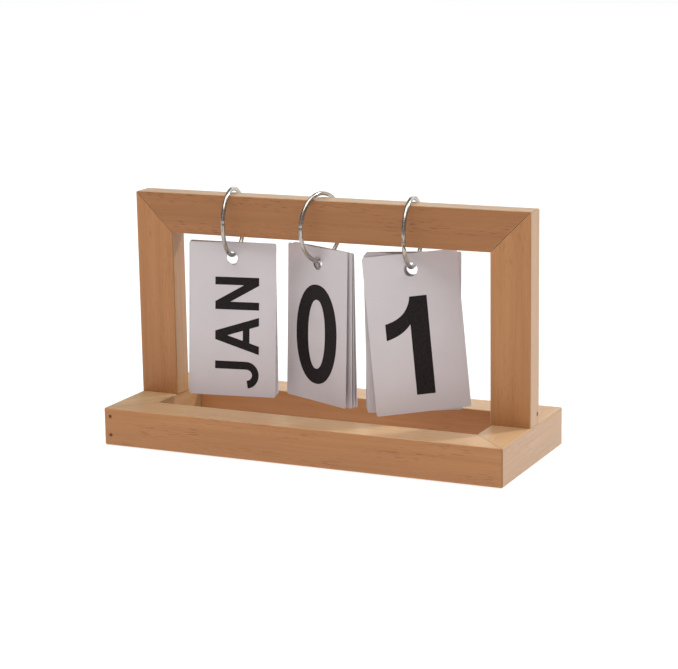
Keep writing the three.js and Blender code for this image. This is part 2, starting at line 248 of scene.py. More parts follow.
def metal_material(name, dull, bright, roughness, scratch):
    """Plated or drawn metal, cloudy between two colours, with fine lines across it."""
    graph = Graph(name, Metallic=1.0)
    clouds = graph.noise((260, 260, 260), detail=3)
    lines = graph.noise((300, 5200, 5200), detail=2)
    colour = graph.mixed(graph.steps(clouds, *NOISE_SPAN), dull, bright)
    graph.link(colour, graph.shader.inputs["Base Color"])
    worn = graph.steps(lines, *NOISE_SPAN, roughness * 0.8, roughness * 1.3)
    graph.link(worn, graph.shader.inputs["Roughness"])
    graph.bump(lines, scratch, 0.02 * MM)
    return graph.material


# ------------------------------------------------------------------ mesh helpers


def new_piece(name, verts, faces, materials, body, replaces=(), material_ids=None,
              smooth=None):
    """A mesh object that rides on a CAD body. verts are in metres, in the frame's axes.

    smooth is the angle in degrees above which an edge stays hard; without it all faces are flat.
    """
    mesh = bpy.data.meshes.new(name)
    mesh.from_pydata([tuple(v) for v in verts], [], [tuple(f) for f in faces])
    for material in materials:
        mesh.materials.append(material)
    if material_ids is not None:
        mesh.polygons.foreach_set("material_index", material_ids)
    bm = bmesh.new()
    bm.from_mesh(mesh)
    bmesh.ops.recalc_face_normals(bm, faces=bm.faces[:])
    bm.to_mesh(mesh)
    bm.free()
    if smooth is not None:
        shade_smooth(mesh, smooth)
    piece = bpy.data.objects.new(name, mesh)
    bpy.context.scene.collection.objects.link(piece)
    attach(piece, body)
    if replaces:
        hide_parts(*replaces)
    return piece


def shade_smooth(mesh, angle):
    """Smooth shading, with every edge sharper than angle degrees kept hard."""
    bm = bmesh.new()
    bm.from_mesh(mesh)
    for face in bm.faces:
        face.smooth = True
    for edge in bm.edges:
        edge.smooth = len(edge.link_faces) == 2 and edge.calc_face_angle(0) < math.radians(angle)
    bm.to_mesh(mesh)
    bm.free()


def settle(piece):
    """Applies the piece's modifiers to its mesh."""
    bpy.context.view_layer.update()
    shaped = piece.evaluated_get(bpy.context.evaluated_depsgraph_get())
    mesh = bpy.data.meshes.new_from_object(shaped)
    piece.modifiers.clear()
    piece.data = mesh


# ------------------------------------------------------------------ wooden stand

EASE = 0.65 * MM  # radius of the sanded edges
EASE_STEPS = 4
CORNER_STEPS = 3
SHARP_ANGLE = 32  # degrees; a wooden edge sharper than this isn't shaded smooth
NAIL_HOLE_RADIUS = 0.95 * MM
NAIL_HOLE_DEPTH = 0.34 * MM
NAIL_HOLE_SIDES = 20
DRILL_LENGTH = 4 * MM
FOOT_GAP = 0.2 * MM  # the CAD part's glue line under each post

# How strong the dark flecks are, and colour factors for single bars, which are painted light
# and shade: a bar is made darker or paler for how the light falls on it.
PLAIN_FLECKED = 0.4
FLECKED = {"top_rail": 0.9, "base_front_rail": 0.55}
PAINTED_BAR_LIGHT = {
    "top_rail": (0.81, 0.77, 0.72),
    "base_left_rail": (1, 1.04, 1.02),
    "right_post": (1.02, 1.05, 1.06),
}
BRAD_COLOURS = ((0.20, 0.095, 0.045), (0.29, 0.15, 0.075))


def bar_outline(low, high, outer, inner, mitred):
    """The bar's outline along its length and across it. outer is the longer side.

    The outline's first side and the last but one are its cut ends, and the rest are long sides.
    """
    width = abs(outer - inner)
    sign = 1 if outer > inner else -1
    ends = []
    for end, direction, cut_back in ((low, 1, mitred[0]), (high, -1, mitred[1])):
        if cut_back:
            tip = (end + direction * width, inner)
            corner = []
            for i in range(CORNER_STEPS + 1):
                angle = math.radians(45 + 45 * i / CORNER_STEPS)
                corner.append((end + direction * EASE * (1 - math.cos(angle)),
                               outer - sign * EASE * (1 - math.sin(angle))))
        else:
            tip = (end, inner)
            corner = [(end, outer)]
        ends.append([tip, *corner])
    return ends[0] + ends[1][::-1]


def add_bar(node, along, across, outer_sign, mitred, seed, lengthen=0.0):
    """A mitred bar with rounded long edges in place of a CAD bar."""
    low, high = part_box(node)
    a, b = "xyz".index(along), "xyz".index(across)
    t = 3 - a - b
    outer, inner = (high[b], low[b]) if outer_sign > 0 else (low[b], high[b])
    outline = bar_outline(low[a] - lengthen, high[a], outer, inner, mitred)
    verts = []
    for depth in (low[t], high[t]):
        for pa, pb in outline:
            point = [0.0, 0.0, 0.0]
            point[a], point[b], point[t] = pa, pb, depth
            verts.append(point)
    n = len(outline)
    faces = [list(range(n)), list(range(2 * n - 1, n - 1, -1))]
    faces += [[i, (i + 1) % n, n + (i + 1) % n, n + i] for i in range(n)]
    bm = bmesh.new()
    made = [bm.verts.new(v) for v in verts]
    for face in faces:
        bm.faces.new([made[i] for i in face])
    bm.edges.ensure_lookup_table()
    long_sides = [i for i in range(n) if i not in (0, n - 2)]
    chosen = [bm.edges.get((made[layer + i], made[layer + (i + 1) % n])) for layer in (0, n)
              for i in long_sides]
    bmesh.ops.recalc_face_normals(bm, faces=bm.faces[:])
    bmesh.ops.bevel(bm, geom=chosen, offset=EASE, offset_type="OFFSET", segments=EASE_STEPS,
                    profile=0.5, affect="EDGES", clamp_overlap=True)
    verts = [v.co.copy() for v in bm.verts]
    bm.verts.index_update()
    faces = [[v.index for v in f.verts] for f in bm.faces]
    bm.free()
    wood = wood_material(f"beech_{node}", along, seed, FLECKED.get(node, PLAIN_FLECKED),
                         PAINTED_BAR_LIGHT.get(node, (1, 1, 1)))
    return new_piece(f"{node}_wood", verts, faces, [wood], "stand", replaces=[node])


def brad_end(node):
    """The middle of a brad's head and the way it was driven, from its CAD node.

    The brad's long axis is the direction its points spread most along, and its head is at the
    end where they reach furthest from that axis.
    """
    points = np.array([v.co for v in frame["nodes"][node].data.vertices], float)
    middle = points.mean(0)
    axis = np.linalg.svd(points - middle)[2][0]
    along = (points - middle) @ axis
    radius = np.linalg.norm(points - middle - np.outer(along, axis), axis=1)
    if along[radius.argmax()] > 0:
        axis, along = -axis, -along
    return Vector(middle + axis * along.min()), Vector(axis)


def drill(piece, nodes):
    """Cuts the small holes that the brads' heads sit in."""
    for node in nodes:
        head, axis = brad_end(node)
        bpy.ops.mesh.primitive_cylinder_add(vertices=NAIL_HOLE_SIDES, radius=NAIL_HOLE_RADIUS,
                                            depth=DRILL_LENGTH)
        cutter = bpy.context.object
        cutter.name = f"{node}_cutter"
        middle = head + axis * (NAIL_HOLE_DEPTH - DRILL_LENGTH / 2)
        turn = UP.rotation_difference(axis).to_matrix().to_4x4()
        cutter.matrix_world = Matrix.Translation(middle) @ turn
        modifier = piece.modifiers.new("hole", "BOOLEAN")
        modifier.object, modifier.operation, modifier.solver = cutter, "DIFFERENCE", "EXACT"
        settle(piece)
        bpy.data.objects.remove(cutter)


def is_driven_into(nail, node):
    """Whether a brad's head is in this bar: brad_front_left_upper is in base_front_rail, and
    brad_foot_left in left_post."""
    place = nail.split("_")
    if place[1] == "foot":
        return node == f"{place[2]}_post"
    return node == f"base_{place[1]}_rail"


def add_stand():
    # along, across, the outer side's sign, and whether the low and the high end are mitred
    bars = {
        "base_front_rail": ("x", "y", -1, (True, True)),
        "base_back_rail": ("x", "y", 1, (True, True)),
        "base_left_rail": ("y", "x", -1, (True, True)),
        "base_right_rail": ("y", "x", 1, (True, True)),
        "left_post": ("z", "x", -1, (False, True)),
        "right_post": ("z", "x", 1, (False, True)),
        "top_rail": ("x", "z", 1, (True, True)),
    }
    nails = [node for node in frame["nodes"] if node.startswith("brad_")]
    for seed, (node, (along, across, sign, mitred)) in enumerate(bars.items(), 1):
        foot = 0 if all(mitred) else FOOT_GAP
        piece = add_bar(node, along, across, sign, mitred, seed, lengthen=foot)
        drill(piece, [nail for nail in nails if is_driven_into(nail, node)])
        shade_smooth(piece.data, SHARP_ANGLE)
        weighted = piece.modifiers.new("even_shading", "WEIGHTED_NORMAL")
        weighted.keep_sharp = True
    steel = metal_material("brad_steel", *BRAD_COLOURS, roughness=0.6, scratch=0.2)
    dowel = wood_material("dowel_beech", "z", seed=9)
    for node, thing in frame["nodes"].items():
        if node.startswith(("brad_", "foot_dowel_")):
            thing.data.materials.clear()
            thing.data.materials.append(steel if node.startswith("brad_") else dowel)


# ------------------------------------------------------------------ book rings

WIRE_RADIUS = 1.05 * MM
WIRE_SIDES = 24
WIRE_STEPS = 60
WIRE_CROWDING = 1.15  # above 1, the stations stand closer together near the eye
WIRE_START = 0.9 * MM  # from the rivet's axis, so inside the eye
EYE_RADIUS = 1.3 * MM
EYE_THICKNESS = 0.6 * MM
EYE_SPLIT = 0.1 * MM  # half the gap between the two eyes
EYE_EDGE = 0.12 * MM  # its edges are rounded by this much
EYE_SIDES = 28
NECK = 4.0 * MM  # the wire is round again this far from the rivet's axis
NECK_NARROWING = 0.1
NECK_SQUARING = 0.55
CUT_END = 0.985  # the part of the wire's length where its cut end starts to round off
CUT_ROUNDING = 0.16
CLASP_GAP = 0.15 * MM
CLASP_LAP = 1.8 * MM
TONGUE_SPLIT = 0.1 * MM
TONGUE_ROOT = 0.02  # radians by which the tongue starts inside the wire
TONGUE_SIZE = 0.97  # of the wire's radius, and then of that at its tip
TONGUE_TIP = 0.93
TONGUE_STEPS = 6
TONGUE_SIDES = 12
RIVET_HEAD_RADIUS = 0.85 * MM
RIVET_HEAD_LENGTH = 0.22 * MM
RIVET_HEAD_STEPS = 5
RIVET_POLE = 0.05 * MM  # radius of the small flat on top of its head
RIVET_GAP = 0.02 * MM
RING_SMOOTH = 38  # degrees
NICKEL_COLOURS = ((0.36, 0.325, 0.285), (0.50, 0.465, 0.42))


class RingFrame:
    """A ring's own frame: its centre, axis, and the way from the centre to its hinge."""

    def __init__(self, name):
        opening = JOINTS[f"{name}_ring_open"]
        self.centre = Vector(JOINTS[f"{name}_front_flip"]["pos_m"])
        self.hinge = Vector(opening["pos_m"])
        self.axis = Vector(opening["axis"]).normalized()
        self.out = (self.hinge - self.centre).normalized()
        self.radius = (self.hinge - self.centre).length
        self.around = self.axis.cross(self.out)

    def at(self, angle):
        """The wire's middle, and the way out from the ring's centre, at an angle from the hinge."""
        out = math.cos(angle) * self.out + math.sin(angle) * self.around
        return self.centre + self.radius * out, out


def half_sides(ring, node):
    """Which way round from the hinge this half lies, and on which side of the ring its eye is."""
    points = [v.co - ring.hinge for v in frame["nodes"][node].data.vertices]
    way = 1 if sum(p.dot(ring.around) for p in points) > 0 else -1
    near = [p.dot(ring.axis) for p in points if p.length < 1.2 * EYE_RADIUS]
    return way, 1 if sum(near) > 0 else -1


def swept(stations, verts, faces):
    """Joins closed sections, each a list of points, into a capped tube."""
    first = len(verts)
    size = len(stations[0])
    for section in stations:
        verts.extend(section)
    for row in range(len(stations) - 1):
        for i in range(size):
            a, b = first + row * size + i, first + row * size + (i + 1) % size
            faces.append((a, b, b + size, a + size))
    last = first + (len(stations) - 1) * size
    faces.append(tuple(range(first + size - 1, first - 1, -1)))
    faces.append(tuple(range(last, last + size)))


def ring_half(ring, name, half, chrome):
    """Half a ring: round wire that flattens into the eye at the hinge, and the tongue."""
    node = f"{name}_ring_{half}"
    way, side = half_sides(ring, node)
    verts, faces = [], []
    neck_angle = NECK / ring.radius
    start = WIRE_START / ring.radius
    end = math.pi - CLASP_LAP / ring.radius
    stations = []
    for i in range(WIRE_STEPS + 1):
        t = i / WIRE_STEPS
        angle = start + (end - start) * t ** WIRE_CROWDING
        flat = 1 - min(1, max(0, (angle - start) / (neck_angle - start)))
        flat = flat * flat * (3 - 2 * flat)
        centre, out = ring.at(way * angle)
        centre = centre + ring.axis * side * flat * (EYE_SPLIT + EYE_THICKNESS / 2)
        thick = WIRE_RADIUS + flat * (EYE_THICKNESS / 2 - WIRE_RADIUS)
        wide = WIRE_RADIUS * (1 - NECK_NARROWING * flat)
        ease = 1 - CUT_ROUNDING * (max(0, t - CUT_END) / (1 - CUT_END)) ** 2
        square = 1 - NECK_SQUARING * flat
        section = []
        for k in range(WIRE_SIDES):
            turn = 2 * math.pi * k / WIRE_SIDES
            c, s = math.cos(turn), math.sin(turn)
            c, s = (math.copysign(abs(v) ** square, v) for v in (c, s))
            section.append(centre + ease * (thick * c * ring.axis + wide * s * out))
        stations.append(section)
    swept(stations, verts, faces)
    add_tongue(ring, way, side, verts, faces)
    add_eye(ring, side, verts, faces)
    new_piece(f"{node}_wire", verts, faces, [chrome], node, replaces=[node],
              smooth=RING_SMOOTH)


def add_tongue(ring, way, side, verts, faces):
    """The half-round tongue that laps past the other half's end and keeps the two in line."""
    first = math.pi - CLASP_LAP / ring.radius - TONGUE_ROOT
    last = math.pi + (CLASP_LAP - CLASP_GAP) / ring.radius
    radius = WIRE_RADIUS * TONGUE_SIZE
    stations = []
    for i in range(TONGUE_STEPS + 1):
        centre, out = ring.at(way * (first + (last - first) * i / TONGUE_STEPS))
        reach = radius * (TONGUE_TIP if i == TONGUE_STEPS else 1)
        section = []
        for k in range(TONGUE_SIDES + 1):
            turn = math.pi * (k / TONGUE_SIDES - 0.5)
            sideways = max(TONGUE_SPLIT, reach * math.cos(turn))
            section.append(centre + ring.axis * side * sideways + out * reach * math.sin(turn))
        stations.append(section)
    swept(stations, verts, faces)


def lathe(centre, axis, profile, sides, verts, faces):
    """A solid turned about axis; profile is (along, radius) from one pole to the other."""
    across = axis.orthogonal().normalized()
    other = axis.cross(across)
    stations = []
    for along, radius in profile:
        section = []
        for k in range(sides):
            turn = 2 * math.pi * k / sides
            spoke = math.cos(turn) * across + math.sin(turn) * other
            section.append(centre + axis * along + radius * spoke)
        stations.append(section)
    swept(stations, verts, faces)


def add_eye(ring, side, verts, faces):
    """The flat round eye at the hinge, bevelled towards the other eye and rounded outside."""
    near, far = EYE_SPLIT, EYE_SPLIT + EYE_THICKNESS
    edge, middle = EYE_EDGE, EYE_EDGE * 0.3
    profile = [(near, EYE_RADIUS - edge), (near + edge, EYE_RADIUS), (far - edge, EYE_RADIUS),
               (far - middle, EYE_RADIUS - middle), (far, EYE_RADIUS - edge)]
    lathe(ring.hinge, ring.axis * side, profile, EYE_SIDES, verts, faces)


def add_rivet(ring, name, chrome):
    """A rivet with a domed head on each side of the two eyes."""
    inside = EYE_SPLIT + EYE_THICKNESS + RIVET_GAP
    dome = []
    for i in range(RIVET_HEAD_STEPS + 1):
        angle = math.radians(90 * i / RIVET_HEAD_STEPS)
        dome.append((inside + RIVET_HEAD_LENGTH * math.cos(angle),
                     max(RIVET_POLE, RIVET_HEAD_RADIUS * math.sin(angle))))
    profile = [(-a, r) for a, r in dome] + [(a, r) for a, r in dome[::-1]]
    verts, faces = [], []
    lathe(ring.hinge, ring.axis, profile, EYE_SIDES, verts, faces)
    node = f"{name}_ring_rivet"
    new_piece(f"{node}_pin", verts, faces, [chrome], f"{name}_ring_lower",
              replaces=[node], smooth=RING_SMOOTH)


def add_rings():
    chrome = metal_material("ring_nickel", *NICKEL_COLOURS, roughness=0.25, scratch=0.06)
    for name in STACKS:
        ring = RingFrame(name)
        for half in ("lower", "upper"):
            ring_half(ring, name, half, chrome)
        add_rivet(ring, name, chrome)


# ------------------------------------------------------------------ lettering
# Plain bold shapes drawn for this calendar. A glyph is one unit high, with its left side
# at 0, and is made of parts; a part is an outline and the outlines of its holes.


def arc(cx, cy, rx, ry, start, end, steps=28, power=2.0):
    """Part of an ellipse between two angles in degrees; a power above 2 makes it squarer."""
    points = []
    for i in range(steps + 1):
        angle = math.radians(start + (end - start) * i / steps)
        c, s = math.cos(angle), math.sin(angle)
        c, s = (math.copysign(abs(v) ** (2 / power), v) for v in (c, s))
        points.append((cx + rx * c, cy + ry * s))
    return points


def curve(p0, p1, p2, steps=12):
    """A quadratic curve from p0 to p2 that heads for p1."""
    points = []
    for i in range(steps + 1):
        t = i / steps
        weights = ((1 - t) ** 2, 2 * t * (1 - t), t * t)
        points.append(tuple(sum(w * v for w, v in zip(weights, each)) for each in zip(p0, p1, p2)))
    return points


def pen(line, s, t):
    """A stroke along a line: s wide where it runs upright, t where it runs level."""
    left, right = [], []
    for i, (x, y) in enumerate(line):
        (ax, ay), (bx, by) = line[max(i - 1, 0)], line[min(i + 1, len(line) - 1)]
        length = math.hypot(bx - ax, by - ay)
        nx, ny = -(by - ay) / length * s / 2, (bx - ax) / length * t / 2
        left.append((x + nx, y + ny))
        right.append((x - nx, y - ny))
    return (left + right[::-1], [])


def bar(x0, y0, x1, y1):
    """A rectangle from its lower left to its upper right corner."""
    return ([(x0, y0), (x1, y0), (x1, y1), (x0, y1)], [])


def loop(cx, cy, rx, ry, s, t, power=2.2):
    """A closed oval stroke, s wide at its sides and t at its top and foot."""
    outer = arc(cx, cy, rx, ry, 0, 360, 64, power)[:-1]
    inner = arc(cx, cy, rx - s, ry - t, 0, 360, 64, power)[:-1]
    return (outer, [inner])


def bowl(y0, y1, w, s, t):
    """The round part of B, D, P and R, drawn from the stem."""
    cy, ry = (y0 + y1) / 2, (y1 - y0) / 2
    rx = min(w * 0.62, ry * 1.08)
    xb = w - rx
    outer = [(0, y0)] + arc(xb, cy, rx, ry, -90, 90) + [(0, y1)]
    inner = [(s, y0 + t)] + arc(xb, cy, rx - s, ry - t, -90, 90) + [(s, y1 - t)]
    return (outer, [inner])


def moved(parts, place):
    """Parts with every point of them put where place says."""
    return [([place(p) for p in outer], [[place(p) for p in hole] for hole in holes])
            for outer, holes in parts]


def turned(parts, w):
    """Parts turned half round, as 9 is 6 turned."""
    return moved(parts, lambda point: (w - point[0], 1 - point[1]))


def letter(name, s=0.166, t=0.152):
    """Width and parts of a capital letter. Its strokes are s wide upright and t level."""
    if name == "A":
        w = 0.79
        g = w / 2 - s * 0.56
        leg, low, high = 1.07 * s, 0.215, 0.215 + t
        outer = [(0, 0), (leg, 0), (leg + g * low, low), (w - leg - g * low, low), (w - leg, 0),
                 (w, 0), (w / 2 + 0.56 * s, 1), (w / 2 - 0.56 * s, 1)]
        hole = [(leg + g * high, high), (w - leg - g * high, high), (w / 2, (w / 2 - leg) / g)]
        return w, [(outer, [hole])]
    if name == "B":
        w = 0.68
        return w, [bar(0, 0, s, 1), bowl(0, 0.5 + t * 0.55, w, s, t),
                   bowl(0.5 - t * 0.45, 1, w * 0.95, s, t)]
    if name == "C":
        w = 0.72
        return w, [pen(arc(w / 2, 0.5, w / 2 - s / 2, 0.5 - t / 2, 42, 318, 48, 2.15), s, t)]
    if name == "D":
        w = 0.72
        return w, [bar(0, 0, s, 1), bowl(0, 1, w, s, t)]
    if name in "EF":
        w = 0.61 if name == "E" else 0.58
        parts = [bar(0, 0, s, 1), bar(s / 2, 1 - t, w, 1),
                 bar(s / 2, 0.52 - t / 2, w * 0.93, 0.52 + t / 2)]
        return w, parts + ([bar(s / 2, 0, w, t)] if name == "E" else [])
    if name == "G":
        w = 0.76
        ring = pen(arc(w / 2, 0.5, w / 2 - s / 2, 0.5 - t / 2, 42, 322, 48, 2.15), s, t)
        return w, [ring, bar(w * 0.52, 0.54 - t, w, 0.54), bar(w - s * 0.9, 0.13, w, 0.5)]
    if name == "J":
        w, r = 0.57, 0.29
        hook = arc(w / 2, r, w / 2 - s / 2, r - t / 2, 0, -172)
        return w, [pen([(w - s / 2, 1), (w - s / 2, 0.6)] + hook, s, t)]
    if name == "L":
        w = 0.57
        return w, [bar(0, 0, s, 1), bar(s / 2, 0, w, t)]
    if name == "M":
        w = 0.86
        outer = [(0, 0), (s, 0), (s, 0.66), (w / 2 - s * 0.42, 0), (w / 2 + s * 0.42, 0),
                 (w - s, 0.66), (w - s, 0), (w, 0), (w, 1), (w - 1.4 * s, 1), (w / 2, 0.34),
                 (1.4 * s, 1), (0, 1)]
        return w, [(outer, [])]
    if name == "N":
        w = 0.69
        outer = [(0, 0), (s, 0), (s, 0.655), (w - 1.02 * s, 0), (w, 0), (w, 1), (w - s, 1),
                 (w - s, 0.345), (1.02 * s, 1), (0, 1)]
        return w, [(outer, [])]
    if name == "O":
        w = 0.78
        return w, [loop(w / 2, 0.5, w / 2, 0.51, s, t, 2.15)]
    if name in "PR":
        w = 0.67 if name == "P" else 0.71
        parts = [bar(0, 0, s, 1), bowl(0.41, 1, w * (1 if name == "P" else 0.95), s, t)]
        leg = ([(w * 0.38, 0.46), (w - 1.18 * s, 0), (w, 0), (w * 0.38 + 1.2 * s, 0.47)], [])
        return w, parts + ([leg] if name == "R" else [])
    if name == "S":
        w = 0.67
        rx, ry = w / 2 - s / 2, (1 - t) / 4
        upper = arc(w / 2, 0.5 + ry, rx * 0.96, ry, 22, 262, 26)
        lower = arc(w / 2, 0.5 - ry, rx, ry, 82, -158, 26)
        return w, [pen(upper + lower, s, t)]
    if name == "T":
        w = 0.62
        return w, [bar(w / 2 - s / 2, 0, w / 2 + s / 2, 1), bar(0, 1 - t, w, 1)]
    if name == "U":
        w, r = 0.68, 0.32
        base = arc(w / 2, r, w / 2 - s / 2, r - t / 2, 180, 360)
        line = [(s / 2, 1), (s / 2, 0.6)] + base + [(w - s / 2, 0.6), (w - s / 2, 1)]
        return w, [pen(line, s, t)]
    if name == "V":
        w = 0.74
        outer = [(w / 2 - 0.55 * s, 0), (w / 2 + 0.55 * s, 0), (w, 1), (w - 1.08 * s, 1),
                 (w / 2, 0.24), (1.08 * s, 1), (0, 1)]
        return w, [(outer, [])]
    w = 0.74  # Y
    outer = [(w / 2 - s / 2, 0), (w / 2 + s / 2, 0), (w / 2 + s / 2, 0.41), (w, 1),
             (w - 1.15 * s, 1), (w / 2, 0.585), (1.15 * s, 1), (0, 1), (w / 2 - s / 2, 0.41)]
    return w, [(outer, [])]


def digit(name, s=0.192, t=0.158):
    """Parts of a figure, 0.66 wide. Its strokes are s wide upright and t level."""
    w = 0.66
    if name == "0":
        return [loop(w / 2, 0.5, w / 2, 0.52, s, t, 2.15)]
    if name == "1":
        above = curve((0.335, 1), (0.305, 0.79), (0.066, 0.742))
        below = curve((0.066, 0.575), (0.235, 0.612), (0.321, 0.719))
        return [([(0.321, 0), (0.512, 0), (0.512, 1)] + above + below, [])]
    if name == "2":
        top = arc(w / 2, 0.70, w / 2 - s / 2, 0.222, 168, -22, 30)
        tail = curve(top[-1], (0.5, 0.44), (0.13, 0.07), 14)[1:]
        return [pen(top + tail, s, t), bar(0.012, 0, w, t)]
    if name == "3":
        upper = arc(0.315, 0.745, 0.205, 0.178, 158, -78, 30)
        lower = arc(0.315, 0.293, 0.238, 0.214, 82, -158, 30)
        return [pen(upper, s, t * 0.95), pen(lower, s, t), bar(0.21, 0.465, 0.36, 0.605)]
    if name == "4":
        slope = [(0, 0.215), (0, 0.36), (0.39, 1), (0.44, 1), (0.44, 0.8), (0.17, 0.34),
                 (0.17, 0.215)]
        return [bar(0.395, 0, 0.395 + s, 1), bar(0, 0.215, w, 0.215 + t * 0.95), (slope, [])]
    if name == "5":
        side = [(0.115, 1), (0.04, 0.455), (0.2, 0.43), (0.262, 1)]
        belly = pen(arc(0.315, 0.325, 0.243, 0.247, 128, -158, 34), s, t)
        return [bar(0.115, 1 - t, 0.6, 1), (side, []), belly]
    if name in "69":
        tail = pen(arc(0.35, 0.47, 0.25, 0.451, 196, 38, 28), s * 0.98, t)
        parts = [loop(w / 2, 0.325, w / 2 - 0.004, 0.335, s, t), tail]
        return parts if name == "6" else turned(parts, w)
    if name == "7":
        slope = pen(curve((0.545, 0.945), (0.255, 0.58), (0.235, 0), 16), s, s)
        return [bar(0.02, 1 - t, 0.64, 1), slope]
    upper = loop(w / 2, 0.752, 0.288, 0.268, s * 0.92, t * 0.92)  # 8
    return [upper, loop(w / 2, 0.27, w / 2 - 0.004, 0.29, s, t)]


# ------------------------------------------------------------------ cards
# A card is drawn flat in millimetres, x across and z up, with its punched hole at the
# origin, and is then bent: each point goes back by what its Bend says.

CARD_THICKNESS = 0.25
HOLE_RADIUS = 3.3
HOLE_SIDES = 40
HOLE_PATCH = 4.6  # half the side of the square round the hole, which has no grid lines in it
HOLE_SEARCH = (4, 4, 14)  # a CAD card's hole is this near its middle, and this far from its top
SIDE_RUNS = 5  # straight runs from the patch to the side of the card
LENGTH_RUNS = 13  # and from the patch to its foot
CORNER_RADIUS = 1.0
CORNER_SEGMENTS = 4
CURLS = {"month": (0.25, -0.35), "tens": (-0.2, -0.25), "units": (-0.25, -0.5)}  # side, foot
CURL_SPREAD = (0.1, 0.3)  # more curl on the last card than on the first
FRONT_FOOT_CURL = -0.25
FOOT_CURL_POWER = 2.2
INK_THICKNESS = 0.03
INK_ROOT = 0.02  # the printing starts this far inside the card
INK_LAYER = 0.002  # parts of one glyph differ in height by this, where they cross
CUT_TOLERANCE = 1e-5
FLAT_ANGLE = 0.001  # radians; printed faces that meet flatter than this are joined
NEAR_FOOT = -60  # height of the point that the cards are sorted by
CARD_FACE_COLOUR = (0.69, 0.628, 0.643)
# The cut edges are paler than the faces: a painted highlight along the card rims.
CARD_EDGE_HIGHLIGHT = (0.86, 0.82, 0.82)
LETTER_HEIGHT = 23.4
LETTER_GAP = 0.155
LETTER_ROOM = 55.5  # longest word, before it is drawn narrower
LETTER_BASE = 14.0  # the month's baseline runs up the card, right of the hole
LETTER_MIDDLE = -37.0
DIGIT_HEIGHT = 47.3
DIGIT_AT = {"tens": (-15.9, -58.9), "units": (-17.8, -60.1)}  # left and foot of the figure


class CardFrame:
    """Where a CAD card is: its hole's centre and its own axes, and its size in millimetres."""

    def __init__(self, node):
        points = np.array([v.co for v in frame["nodes"][node].data.vertices], float)
        points = np.unique(np.round(points, 7), axis=0)
        axes = np.linalg.svd(points - points.mean(0), full_matrices=False)[2]
        up, across = Vector(axes[0]), Vector(axes[1])
        self.up = up if up.z > 0 else -up
        self.across = across if across.x > 0 else -across
        self.back = self.up.cross(self.across)
        spans = [(points @ np.array(a)) for a in (self.across, self.back, self.up)]
        low, high = [s.min() for s in spans], [s.max() for s in spans]
        self.width, self.height = (high[0] - low[0]) / MM, (high[2] - low[2]) / MM
        middle = [(a + b) / 2 for a, b in zip(low, high)]
        rims = [p for p in points if self.is_hole(p, middle, high)]
        hole_up = np.mean([Vector(p).dot(self.up) for p in rims])
        self.top = (high[2] - hole_up) / MM
        self.origin = self.across * middle[0] + self.back * middle[1] + self.up * hole_up

    def is_hole(self, point, middle, high):
        sideways = abs(Vector(point).dot(self.across) - middle[0])
        down = high[2] - Vector(point).dot(self.up)
        reach, nearest, furthest = (v * MM for v in HOLE_SEARCH)
        return sideways < reach and nearest < down < furthest

    def place(self, x, y, z):
        return self.origin + MM * (x * self.across + y * self.back + z * self.up)


class Bend:
    """A card's gentle curl, made of straight runs between the grid lines."""

    def __init__(self, card, side, foot):
        half, top, bottom = card.width / 2, card.top, card.top - card.height
        patch = HOLE_PATCH
        rest = np.linspace(patch, half, SIDE_RUNS + 1)[1:]
        self.xs = np.array([*(-rest[::-1]), -patch, 0, patch, *rest])
        self.zs = np.array([*np.linspace(bottom, -patch, LENGTH_RUNS + 1), 0, patch, top])
        self.ys_x = side * (self.xs / half) ** 2
        self.ys_z = foot * ((top - self.zs) / card.height) ** FOOT_CURL_POWER

    def __call__(self, x, z):
        return float(np.interp(x, self.xs, self.ys_x) + np.interp(z, self.zs, self.ys_z))


def card_sheet(bend):
    """The flat card as points and faces, with rounded corners and the hole left open."""
    bm = bmesh.new()
    grid = {(i, k): bm.verts.new((x, 0, z)) for i, x in enumerate(bend.xs)
            for k, z in enumerate(bend.zs)}
    patch = {v for (i, k), v in grid.items()
             if abs(bend.xs[i]) <= HOLE_PATCH and abs(bend.zs[k]) <= HOLE_PATCH}
    for (i, k), first in grid.items():
        if i + 1 < len(bend.xs) and k + 1 < len(bend.zs):
            corners = [first, grid[i + 1, k], grid[i + 1, k + 1], grid[i, k + 1]]
            if not all(v in patch for v in corners):
                bm.faces.new(corners)
    ring = sorted((v for v in patch if v.co.length > HOLE_RADIUS),
                  key=lambda v: math.atan2(v.co.z, v.co.x))
    rim = []
    for i in range(HOLE_SIDES):
        angle = 2 * math.pi * i / HOLE_SIDES
        rim.append(bm.verts.new((HOLE_RADIUS * math.cos(angle), 0,
                                 HOLE_RADIUS * math.sin(angle))))
    loops = [[Vector((v.co.x, v.co.z, 0)) for v in part] for part in (ring, rim)]
    everyone = ring + rim
    for triangle in tessellate_polygon(loops):
        bm.faces.new([everyone[i] for i in triangle])
    bmesh.ops.delete(bm, geom=[v for v in bm.verts if not v.link_faces], context="VERTS")
    corners = [v for v in bm.verts if len(v.link_edges) == 2 and v not in rim]
    bmesh.ops.bevel(bm, geom=corners, offset=CORNER_RADIUS, segments=CORNER_SEGMENTS,
                    profile=0.5, affect="VERTICES")
    bm.verts.index_update()
    points = [(v.co.x, v.co.z) for v in bm.verts]
    faces = [[v.index for v in f.verts] for f in bm.faces]
    bm.free()
    return points, faces


